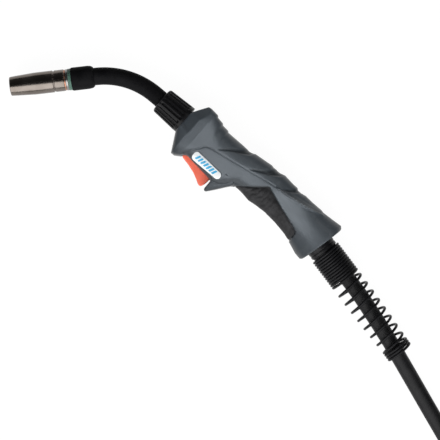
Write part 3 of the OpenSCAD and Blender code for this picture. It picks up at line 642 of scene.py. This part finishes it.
def handle_grid():
    """Outer and inner grids of one half of the handle, and how far each outer place is darkened by painted
    shade and by the scoops' darker colour.
    """
    stations = np.unique(np.concatenate([np.arange(1.5, HANDLE_LEN - 1, 0.75), SLOT, [0, 0.15, 0.5, 0.9],
                                         [HANDLE_LEN - 0.7, HANDLE_LEN - 0.25, HANDLE_LEN]]))
    x = np.concatenate([[0], stations])[:, None]
    fine = np.linspace(math.pi / 2, math.pi, 400)[None, :]
    _, z_fine, _, _ = flank(x, fine + 0 * x, 0.0)
    slot_phi = np.array([np.interp(-SLOT_HALF, -z, fine[0]) for z in z_fine])[:, None]
    upper, lower = np.linspace(0, 1, 79)[None, :], np.linspace(0, 1, 12)[None, 1:]
    phi = np.hstack([0 * x, FIRST_PHI + (slot_phi - FIRST_PHI) * upper,
                     slot_phi + (math.pi - FIRST_PHI - slot_phi) * lower, 0 * x + math.pi])
    y, z, ny, nz = flank(x, phi, 0.0)
    xs = rear_lean(x, y)
    sunk, dark = handle_relief(xs, y)
    near_split = np.zeros_like(phi)
    near_split[:, [0, -1]] = 0.35
    end = np.interp(x, [0, 0.15, 0.5, 0.9, HANDLE_LEN - 0.7, HANDLE_LEN - 0.25, HANDLE_LEN],
                    [0.8, 0.45, 0.1, 0, 0, 0.3, 0.9])
    depth = sunk + near_split + end
    outer = np.dstack([xs + 0 * phi, y - ny * depth, np.maximum(z - nz * depth, 0)])
    outer[:, [0, -1], 2] = 0
    y_in, z_in, _, _ = flank(np.maximum(x, FRONT_WALL), phi, WALL)
    inner = np.dstack([np.maximum(rear_lean(x, y_in), FRONT_WALL), y_in, z_in])
    inner[:, [0, -1], 2] = 0
    for grid, at in ((outer, 0.0), (inner, FRONT_WALL)):
        grid[0] = np.column_stack([0 * phi[0] + at, FRONT_HOLE_R * np.cos(phi[0]),
                                   FRONT_HOLE_R * np.sin(phi[0])])
    middle = (x[:-1, 0] + x[1:, 0]) / 2
    open_rows = (middle > SLOT[0]) & (middle < SLOT[1])
    keep = np.ones((len(x) - 1, phi.shape[1] - 1), bool)
    keep[np.ix_(open_rows, np.arange(keep.shape[1]) >= upper.shape[1])] = False
    return outer, inner, keep, dark


def outset(outline, distance):
    """A closed outline moved outwards along its corners' normals."""
    p = np.asarray(outline, float)
    before, after = np.roll(p, 1, axis=0), np.roll(p, -1, axis=0)
    area = np.sum(p[:, 0] * after[:, 1] - after[:, 0] * p[:, 1])
    d = (after - before) / np.linalg.norm(after - before, axis=1)[:, None]
    return p + distance * math.copysign(1, area) * np.column_stack([d[:, 1], -d[:, 0]])


def plate_part(outline, height_at, bevel, steps=4):
    """Half of a plate above its middle plane, with a rounded edge; height_at gives its height at x, y."""
    rings = [np.column_stack([outline, np.zeros(len(outline))])]
    for t in np.linspace(0, math.pi / 2, steps + 1):
        ring = outset(outline, -bevel * (1 - math.cos(t)))
        rings.append(np.column_stack([ring, height_at(ring[:, 0], ring[:, 1]) - bevel * (1 - math.sin(t))]))
    count = len(outline)
    return np.vstack(rings), grid_faces(len(rings), count) + end_caps(len(rings), count)


def join_parts(parts):
    """One list of points and faces from several."""
    points, faces, start = [], [], 0
    for p, f in parts:
        points.append(np.asarray(p, float))
        faces += [tuple(v + start for v in face) for face in f]
        start += len(p)
    return np.vstack(points), faces


GUARD = [[58.6, -24], [58.6, -33], [58.6, -38.6], [59, -40.6], [60.2, -41.4], [61.8, -40.8], [66, -35.6],
         [70, -30.4], [74, -24.8], [77.5, -20.6], [79, -16], [68, -14], [60, -16]]


def guard_part():
    """Finger guard behind the trigger."""
    outline = np.array(round_corners(GUARD, 1.5))
    return plate_part(outline, lambda x, y: 12 + 0.25 * (y + 41.4) - 0.2 * np.maximum(0, x - 66), 1.6)


def rear_wall_part():
    """Wall inside the handle's rear end, around the cable support."""
    phi = np.linspace(0, math.pi, 40)
    x = 177.5
    y, z, _, _ = flank(np.full_like(phi, x), phi, WALL - 0.4)
    hole_y = SUPPORT_AT[1] + 13 * np.cos(phi) + 1.5
    rings = []
    for at in (x, x + 2):
        outside = np.column_stack([rear_lean(at, y), y, z])
        inside = np.column_stack([rear_lean(at, hole_y), hole_y, 13 * np.sin(phi)])
        rings += [outside, inside] if at == x else [inside, outside]
    return np.vstack(rings), grid_faces(4, len(phi), wrap_rows=True, wrap_cols=False)


def set_attribute(obj, name, values):
    """Stores one number for each point; points past the list get 0."""
    data = np.zeros(len(obj.data.vertices), np.float32)
    data[:len(values)] = values
    obj.data.attributes.new(name, "FLOAT", "POINT").data.foreach_set("value", data)


def cut_with(obj, cutter):
    """Cuts one mesh out of another and keeps only the result."""
    modifier = obj.modifiers.new("cut", "BOOLEAN")
    modifier.operation = "DIFFERENCE"
    modifier.solver = "EXACT"
    modifier.object = cutter
    graph = bpy.context.evaluated_depsgraph_get()
    mesh = bpy.data.meshes.new_from_object(obj.evaluated_get(graph))
    obj.modifiers.clear()
    obj.data = mesh
    bpy.data.objects.remove(cutter)


# Screws of the handle: X, Y and the height of the boss that holds each one
SCREW_PLACES = [[15, 17, 13.6], [13.5, -23.5, 15.2], [99, 14.8, 11.8], [151, 15, 10.6], [163, -20.5, 11.5]]
SCREW_WELL_R = 3.0
SCREW_SUNK = 5.0             # depth of each well below the end of its boss


def add_to(obj, part):
    """Adds points and faces, given for the upper side, to the lower half's mesh."""
    points, faces = part
    points[:, 2] = MID_Z - points[:, 2]
    extra = bpy.data.meshes.new("extra")
    extra.from_pydata([tuple(p) for p in to_row(points)], [], faces)
    bm = bmesh.new()
    bm.from_mesh(extra)
    face_outwards(bm)
    for face in bm.faces:
        face.smooth = True
    bm.to_mesh(extra)
    bm.clear()
    bm.from_mesh(obj.data)
    bm.from_mesh(extra)
    bm.to_mesh(obj.data)
    bm.free()
    bpy.data.meshes.remove(extra)


def screw_wells():
    """Cutter for the wells that the screws are sunk in."""
    angle = np.linspace(0, 2 * math.pi, 33)[:-1]
    parts = []
    for x, y, boss in SCREW_PLACES:
        rings = [np.column_stack([x + SCREW_WELL_R * np.cos(angle), y + SCREW_WELL_R * np.sin(angle),
                                  np.full(32, MID_Z - h)]) for h in (boss - SCREW_SUNK, 40)]
        parts.append((np.vstack(rings), grid_faces(2, 32) + end_caps(2, 32)))
    points, faces = join_parts(parts)
    return add_mesh("cutter", to_row(points), faces, "black", smooth=False)


def boss_part(x, y, boss):
    """Sleeve that a screw is sunk in, with a floor under the screw's head."""
    angle = np.linspace(0, 2 * math.pi, 49)[:-1]
    seat = boss - SCREW_SUNK
    profile = [(1.7, seat - 1.4), (3.6, seat - 1.4), (3.6, boss), (SCREW_WELL_R, boss), (SCREW_WELL_R, seat),
               (1.7, seat)]
    rings = [np.column_stack([x + r * np.cos(angle), y + r * np.sin(angle), np.full(48, z)])
             for r, z in profile]
    return np.vstack(rings), grid_faces(len(profile), 48, wrap_rows=True)


def drop_loose(bm):
    bmesh.ops.delete(bm, geom=[v for v in bm.verts if not v.link_faces], context="VERTS")


def add_half(name, side, points, faces, material):
    """A mesh from points given for the upper half; side -1 mirrors them to the lower one."""
    points[:, 2] = MID_Z + side * points[:, 2]
    return add_mesh(name, to_row(points), faces, material)


def make_shell(name, side):
    outer, inner, keep, dark = handle_grid()
    points, faces = join_parts([grid_shell(outer, inner, keep), guard_part(), rear_wall_part()])
    obj = add_half(name, side, points, faces, "handle")
    set_attribute(obj, "dark", dark.ravel())
    edit_mesh(obj.data, drop_loose)
    if side < 0:
        cut_with(obj, screw_wells())
        add_to(obj, join_parts([boss_part(*screw) for screw in SCREW_PLACES]))
    sharpen(obj, 38)
    return place(obj, "torch", "handle_grey", name.replace("shell", "handle_shell"))


shells = [make_shell("shell_upper", 1), make_shell("shell_lower", -1)]
flag(key, shells, reaches=False)
flag(handle_key, shells, reaches=True)
flag(overhead, shells, reaches=True)

LEAF_WIDTH = 4.5
LEAF_LENGTH = 9.5


def leaf_relief(x, y):
    """Leaf-shaped ridges on the grip pads in staggered rows, each leaf leaning across the handle."""
    slant = math.radians(74)
    x = x + 1.1 * np.sin(0.31 * y + 0.13 * x)
    u = x * math.cos(slant) + y * math.sin(slant)
    v = -x * math.sin(slant) + y * math.cos(slant)
    row = np.floor(v / LEAF_WIDTH)
    column = np.floor(u / LEAF_LENGTH + 0.43 * row)
    across_row = (v / LEAF_WIDTH - row - 0.5) * 2
    along_leaf = (u / LEAF_LENGTH + 0.43 * row - column - 0.5) * 2
    leaf = np.clip(1 - np.abs(across_row) ** 1.4 - np.abs(along_leaf) ** 1.7, 0, 1)
    vein = 0.22 * np.exp(-(across_row / 0.14) ** 2) * (leaf > 0.15)
    height = 0.72 + 0.28 * np.sin(5.1 * row + 2.3 * column)
    return height * leaf ** 0.7 - vein


def make_pad(name, side):
    """Soft grip pad that wraps the underside of one half."""
    x = np.concatenate([np.arange(*PAD_ENDS, 0.45), [PAD_ENDS[1]]])[:, None]
    phi_all = np.linspace(0, math.pi, 500)[None, :]
    y_all, _, _, _ = flank(x, phi_all + 0 * x, 0.0)
    lean_edge = lookup(x[:, 0] + 0.6 * np.maximum(0, x[:, 0] - 140) / 44, PAD_EDGE)
    start = np.array([np.interp(-edge, -ys, phi_all[0]) for edge, ys in zip(lean_edge - 0.5, y_all)])[:, None]
    share = np.linspace(0, 1, 90)[None, :]
    phi = start + (math.pi - start) * share
    y, z, ny, nz = flank(x, phi, 0.0)
    xs = rear_lean(x, y)
    rows, cols = phi.shape
    ends = np.minimum(x - PAD_ENDS[0], PAD_ENDS[1] - x)
    border = np.minimum(np.minimum(share * 13, 1), np.minimum(ends / 2, 1))
    amount = (np.clip(border * 1.2 - 0.2, 0, 1) * (1 - 0.85 * np.abs(ny) ** 1.5)
              * np.interp(xs, [112, 140], [1, 0.35]))
    proud = -PAD_SUNK + 0.15 + 0.45 * border + leaf_relief(xs, y) * amount
    outer = np.dstack([xs + 0 * phi, y + ny * proud, np.maximum(z + nz * proud, 0)])
    inner = np.dstack([xs + 0 * phi, y - ny * 1.4, np.maximum(z - nz * 1.4, 0)])
    outer[:, -1, 2] = 0
    inner[:, -1, 2] = 0
    points, faces = grid_shell(outer, inner, np.ones((rows - 1, cols - 1), bool))
    obj = add_half(name, side, points, faces, "grip")
    sharpen(obj, 30)
    place(obj, "torch", "grip_rubber", name)


make_pad("grip_pad_upper", 1)
make_pad("grip_pad_lower", -1)

BADGE_STRIPES = [34.5 + 3.6 * i for i in range(7)]   # middles of the slanted stripes
STRIPE_HALF = 1.15


def make_badge(name, side):
    """Thin label that follows the flank, printed with plain slanted stripes."""
    ends = [0.02, 0.1, 0.25, 0.5]
    x = np.concatenate([BADGE_ENDS[0] + np.array(ends), np.arange(29.8, 63.2, 0.4),
                        BADGE_ENDS[1] - np.array(ends[::-1])])[:, None]
    share = np.linspace(0, 1, 33)[None, :]
    low, top = badge_edges(x)
    y = low + 0.2 + (top - low - 0.4) * share
    phi_all = np.linspace(0, math.pi, 700)
    z = np.empty_like(y)
    for i, at in enumerate(x[:, 0]):
        ys, zs, _, _ = flank(np.full_like(phi_all, at), phi_all, 0.0)
        z[i] = np.interp(-y[i], -ys, zs)
    edge = np.minimum(np.minimum(share, 1 - share) * 32, np.minimum(x - BADGE_ENDS[0], BADGE_ENDS[1] - x) * 3)
    lift = 0.1 + 0.15 * np.clip(edge, 0, 1)
    outer = np.dstack([x + 0 * y, y, z + lift])
    inner = np.dstack([x + 0 * y, y, z - 0.6])
    points, faces = grid_shell(outer, inner, np.ones((len(x) - 1, y.shape[1] - 1), bool))
    obj = add_half(name, side, points, faces, "badge")
    obj.data.materials.append(MATERIALS["badge_mark"])
    for face in obj.data.polygons:
        cx, cy = face.center.x / MM - DATUM[0], face.center.y / MM - DATUM[1]
        middle = -20.6 - 0.03 * (cx - 33)
        in_stripe = any(abs(cx - at - 0.45 * (cy - middle)) < STRIPE_HALF for at in BADGE_STRIPES)
        if in_stripe and abs(cy - middle) < 2.6 and abs(face.center.z / MM - MID_Z) > 15:
            face.material_index = 1
    sharpen(obj, 35)
    place(obj, "torch", "badge_white", name)


make_badge("badge_upper", 1)
make_badge("badge_lower", -1)

TRIGGER = [[20.8, -29.4], [24, -30.5], [30, -31.6], [40, -34.6], [47, -38], [50.5, -40.2], [53, -40.9],
           [54.6, -40], [56.2, -36], [56.9, -31], [56.6, -27.4], [50, -24.6], [46, -20.7], [42, -20.7],
           [38, -23.6], [27, -20], [21.9, -23]]


def weld(bm):
    bmesh.ops.remove_doubles(bm, verts=bm.verts, dist=1e-6)
    face_outwards(bm)


def make_trigger():
    outline = np.array(round_corners(TRIGGER, 1.6, steps=4))
    halves = []
    for side in (1, -1):
        points, faces = plate_part(outline, lambda x, y: 6 + 0 * x, 1.1)
        points[:, 2] = MID_Z + side * points[:, 2]
        halves.append((points, faces[:-2] + [faces[-1]]))
    points, faces = join_parts(halves)
    obj = add_mesh("trigger_lever", to_row(points), faces, "trigger")
    edit_mesh(obj.data, weld)
    sharpen(obj, 40)
    place(obj, "trigger_lever", "trigger_red", "trigger")


make_trigger()


# ---------------------------------------------------------------- neck and nozzle

def make_nozzle():
    profile = [[7.5, 0], [9.1, 0], [9.5, 0.5], [9.9, 6], [10.75, 20.5], [10.95, 24], [11, 27], [11, 43.2],
               [10.3, 43.7], [10.2, 44.1], [10.35, 44.6], [10.85, 45], [10.85, 54.2], [10.4, 54.6],
               [10.2, 56], [8.9, 56], [8.9, 40], [8.3, 38], [8.3, 24], [7.5, 12]]
    obj = turned("gas_nozzle_shell", NOZZLE, [(s, r) for r, s in profile], "nickel", 128, round_edge=0.25)
    obj.data.materials.append(MATERIALS["copper"])
    origin, along, _, _ = NOZZLE
    start = Vector(to_row(origin))
    for face in obj.data.polygons:
        s = (face.center - start).dot(Vector(along)) / MM
        inward = (face.center - start - Vector(along) * (s * MM)).length / MM < 9.0
        if s > 54.7 or inward:
            face.material_index = 1
    span = (np.array([tuple(v.co) for v in obj.data.vertices]) - to_row(origin)) @ along / MM
    set_attribute(obj, "heat", 0.9 * np.exp(-span / 3.5) + 0.35 * np.exp(-((span - 49) / 4) ** 2))
    place(obj, "nozzle", "nozzle_nickel", "gas_nozzle")


def make_seat():
    profile = [(46, 6.4), (46, 8.4), (46.5, 8.8), (55.9, 8.8), (56.1, 10.3), (56.4, 10.6), (58.2, 10.6),
               (58.5, 10.3), (58.5, 6.4)]
    turned_piece("seat_ring", NOZZLE, profile, "steel", "torch", "seat_silver", "nozzle_seat", round_edge=0.2)
    profile = [(58.5, 6.4), (58.5, 10.6), (58.9, 10.9), (59.6, 10.9), (59.8, 10.6), (60.2, 10.6),
               (60.4, 10.9), (61.2, 10.9), (61.5, 10.6), (61.5, 6.4)]
    turned_piece("teal_insulator", NOZZLE, profile, "teal", "torch", "insulator_teal", "insulator_ring",
                 round_edge=0.12)


def make_collar():
    profile = [(61.5, 6.4), (61.5, 11), (62.2, 11.6), (78.5, 11.6), (81.8, 11.1), (84, 9.7), (84, 8.8),
               (70, 8.8), (66, 6.4)]
    turned_piece("neck_collar", NOZZLE, profile, "neck", "torch", "black_plastic", "neck_end_collar",
                 round_edge=0.5)


def neck_route(front, back):
    """Centre line of the swan neck from a distance along the nozzle's axis to an X."""
    bend_x = NECK_CROSS_X + NECK_BEND_R * math.tan(NECK_ANGLE / 2)
    turn = np.linspace(NECK_ANGLE, 0, 40)
    arc = np.column_stack([bend_x - NECK_BEND_R * np.sin(turn), NECK_BEND_R * (np.cos(turn) - 1),
                           np.full(40, MID_Z)])
    origin, along, _, _ = NOZZLE
    start = origin + front * along
    straight = np.linspace(start, arc[0], 14)[:-1]
    rear = np.linspace(arc[-1], [back, 0, MID_Z], 10)[1:]
    return np.vstack([straight, arc, rear])


def make_neck():
    route = neck_route(74, -19)
    sides = 64
    outside, faces = sweep(route, NECK_R, sides)
    inside, inner_faces = sweep(route, NECK_BORE_R, sides)
    count = len(outside)
    last = count - sides
    faces = faces[:-2] + [tuple(v + count for v in reversed(f)) for f in inner_faces[:-2]]
    for k in range(sides):
        m = (k + 1) % sides
        faces.append((k, count + k, count + m, m))
        faces.append((last + k, last + m, count + last + m, count + last + k))
    obj = add_mesh("neck_sleeve", to_row(np.vstack([outside, inside])), faces, "neck")
    sharpen(obj, 40)
    place(obj, "torch", "neck_rubber", "neck_insulation")


def make_nut():
    profile = [(-31, 8.8), (-31, 12.2), (-30.4, 13.2), (-29, 13.7)]
    profile += [(-29 + 26 * t, 13.7 + 1.3 * t) for t in np.linspace(0.04, 0.96, 24)]
    profile += [(-3, 15), (-2.4, 15), (-0.3, 15), (0, 14.7), (0, 10), (-19, 10), (-19, 8.8)]

    def fluted(s, r, angle):
        if r < 13.5 or s > -2.4:
            return r * np.ones_like(angle)
        fade = eased(s, -30, -27.6) * (1 - eased(s, -5, -3.4))
        wave = np.cos(20 * angle)
        return r - 1.25 * fade * np.clip(0.5 - 1.6 * (wave - 0.25), 0, 1)

    turned_piece("fluted_nut", NECK, profile, "black", "torch", "black_plastic", "neck_nut", segments=240,
                 shape=fluted)


make_nozzle()
make_seat()
make_collar()
make_neck()
make_nut()


# ---------------------------------------------------------------- cable support, spring, strap and plug

def make_support():
    profile = [(-14, 8.1), (-14, 14.3), (-9.2, 14.3), (-9.2, 12.5), (-5.8, 12.5), (-5.8, 14.5),
               (-5.4, 14.7), (2.2, 14.7), (2.6, 14.2), (3.3, 14.2), (3.7, 14.7), (6, 14.7), (6.8, 14),
               (6.8, 13.4), (21.4, 13.4), (22, 12.6), (22, 8.1)]
    turned_piece("lead_support", SUPPORT, profile, "black", "torch", "black_plastic", "cable_support",
                 round_edge=0.3)


def spring_state(t):
    """Radius and distance along the support's axis after t turns of the kink spring."""
    close_turns, open_turns = 11.5, 8
    opened = np.clip(t - close_turns, 0, open_turns)
    radius = 15.1 + (13.1 - 15.1) * (opened / open_turns) ** 2
    rise = 8.4 + 2.86 * (t - opened) + 10.3 * opened
    return radius, rise


def make_spring():
    turns, steps, wire_r, sides = 22.7, 28, 1.36, 12
    origin, along, across_axis, up = SUPPORT
    t = np.arange(int(turns * steps) + 1) / steps
    radius, rise = spring_state(t)
    full = spring_state(turns)[1]
    angle = 2 * math.pi * t
    path = (origin + rise[:, None] * along + ((rise / full) ** 2)[:, None] * np.array([0, -1, -2.5])
            + radius[:, None] * (np.cos(angle)[:, None] * across_axis + np.sin(angle)[:, None] * up))
    tangent = np.gradient(path, axis=0)
    tangent /= np.linalg.norm(tangent, axis=1)[:, None]
    out = np.cross(tangent, along)
    out /= np.linalg.norm(out, axis=1)[:, None]
    above = np.cross(tangent, out)
    ring = np.arange(sides) * 2 * math.pi / sides
    points = path[:, None] + wire_r * (np.cos(ring)[None, :, None] * out[:, None]
                                       + np.sin(ring)[None, :, None] * above[:, None])
    faces = grid_faces(len(path), sides) + end_caps(len(path), sides)
    obj = add_mesh("kink_spring_wire", to_row(points.reshape(-1, 3)), faces, "spring")
    sharpen(obj, 50)
    place(obj, "torch", "spring_black", "kink_spring")


def strap_band(offset, thick, start, stop, half_width):
    """A band round the coil's turns, between two shares of the way round their section."""
    corners = [(66, 8.1, 180), (98, 8.1, 270), (98, 24, 0), (66, 24, 90)]
    loop = []
    for r, z, first in corners:
        for a in np.radians(np.linspace(first, first + 90, 9)):
            loop.append([r + (8 + offset) * math.cos(a), z + (8 + offset) * math.sin(a)])
    loop = np.array(loop + loop[:1])
    gone = np.concatenate([[0], np.cumsum(np.linalg.norm(np.diff(loop, axis=0), axis=1))])
    at = np.linspace(start, stop, 90) * gone[-1]
    line = np.column_stack([np.interp(at % gone[-1], gone, loop[:, i]) for i in (0, 1)])
    line[:, 1] = np.maximum(line[:, 1], 0.5 + offset * 0.2)
    normal = np.gradient(line, axis=0)
    normal = np.column_stack([normal[:, 1], -normal[:, 0]]) / (np.linalg.norm(normal, axis=1)[:, None] + 1e-9)
    section = [(-half_width, -thick / 2), (half_width, -thick / 2), (half_width, 0),
               (half_width - 0.8, thick / 2), (-half_width + 0.8, thick / 2), (-half_width, 0)]
    angle = math.radians(60)
    outwards = np.array([math.cos(angle), math.sin(angle), 0])
    sideways = np.array([-outwards[1], outwards[0], 0])
    points = []
    for (r, z), (nr, nz) in zip(line, normal):
        for side, lift in section:
            points.append(np.array([*COIL_AT, 0]) + (r + nr * lift) * outwards + side * sideways
                          + np.array([0, 0, max(z + nz * lift, 0.02)]))
    return np.array(points), grid_faces(len(line), len(section)) + end_caps(len(line), len(section))


def make_strap():
    points, faces = join_parts([strap_band(0.6, 1.0, 0.0, 0.999, 10), strap_band(1.7, 1.0, 0.36, 0.8, 9.4)])
    obj = add_mesh("coil_strap", to_row(points), faces, "strap")
    sharpen(obj, 40)
    place(obj, "torch", "tie_strap", "cable_tie")


PLUG = axis_frame([567, -1.4, 54], math.radians(114))


def ribbed(start, stop, count, r0, r1, depth):
    """Profile of round ribs between two distances along an axis."""
    pitch = (stop - start) / count
    out = []
    for i in range(count):
        for share, lift in ((0, -depth), (0.12, -depth), (0.3, 0), (0.75, 0), (0.93, -depth)):
            s = start + (i + share) * pitch
            out.append((s, r0 + (r1 - r0) * (s - start) / (stop - start) + lift))
    return out


def make_plug():
    boot = [(0, 8), (0, 9), (0.6, 9.4), (2, 10.4), *ribbed(6, 38, 8, 10.9, 13.9, 0.9), (39, 14), (44.4, 14.5),
            (45, 14), (45, 8)]
    housing = [(45, 8), (45, 15.4), (45.8, 16.4), (49, 18.5), (57, 19.5), *ribbed(60, 78, 6, 19.5, 19.5, 0.6),
               (80, 19.5), (83, 19.5), (85, 17.8), (90, 17.8), (90, 15.2), (50, 15.2), (48, 8)]
    turned_piece("lead_boot", PLUG, boot, "neck", "torch", "neck_rubber", "plug_boot")
    turned_piece("plug_grip", PLUG, housing, "black", "torch", "black_plastic", "plug_housing")
    nut = [(85, 17.9), (85, 19.6), (85.8, 20.8), (87.5, 22), (89, 22), (96, 22), (103, 22), (109.5, 22),
           (111.2, 20.8), (112, 19.6), (112, 17.9)]

    def lobed(s, r, angle):
        if r < 20:
            return r * np.ones_like(angle)
        return r - 1.3 * np.clip(0.2 - np.cos(12 * angle), 0, 1) ** 0.8

    turned_piece("union_ring", PLUG, nut, "black", "nut", "black_plastic", "union_nut", segments=216,
                 shape=lobed, round_edge=0.4)


make_support()
make_spring()
make_strap()
make_plug()


# ---------------------------------------------------------------- finish


NODES_OF_LOOK = {
    "nickel": ["gas_nozzle"],
    "copper": ["contact_tip", "neck_tube", "crimp_ferrule"],
    "brass": ["tip_adaptor", "tip_holder", "neck_connector", "plug_body", "gas_nipple", "contact_pin_a",
              "contact_pin_b", "liner_nut"],
    "steel": ["nozzle_seat", "wire_liner", "handle_screws", "trigger_pin", "trigger_spring"],
    "teal": ["insulator_ring"],
    "neck": ["neck_end_collar", "neck_insulation", "plug_boot", "gas_o_ring"],
    "black": ["neck_nut", "microswitch", "cable_support", "plug_housing", "union_nut"],
    "handle": ["handle_shell_upper", "handle_shell_lower"],
    "grip": ["grip_pad_upper", "grip_pad_lower"],
    "badge": ["badge_upper", "badge_lower"],
    "trigger": ["trigger"],
    "white": ["switch_plunger"],
    "wire": ["switch_leads"],
    "jacket": ["cable_lead_in", "power_cable", "cable_coil", "cable_tail"],
    "spring": ["kink_spring"],
    "strap": ["cable_tie"],
}
for look, node_names in NODES_OF_LOOK.items():
    for node_name in node_names:
        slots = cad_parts[node_name].data.materials
        for index in range(len(slots)):
            slots[index] = MATERIALS[look]
        if not slots:
            slots.append(MATERIALS[look])
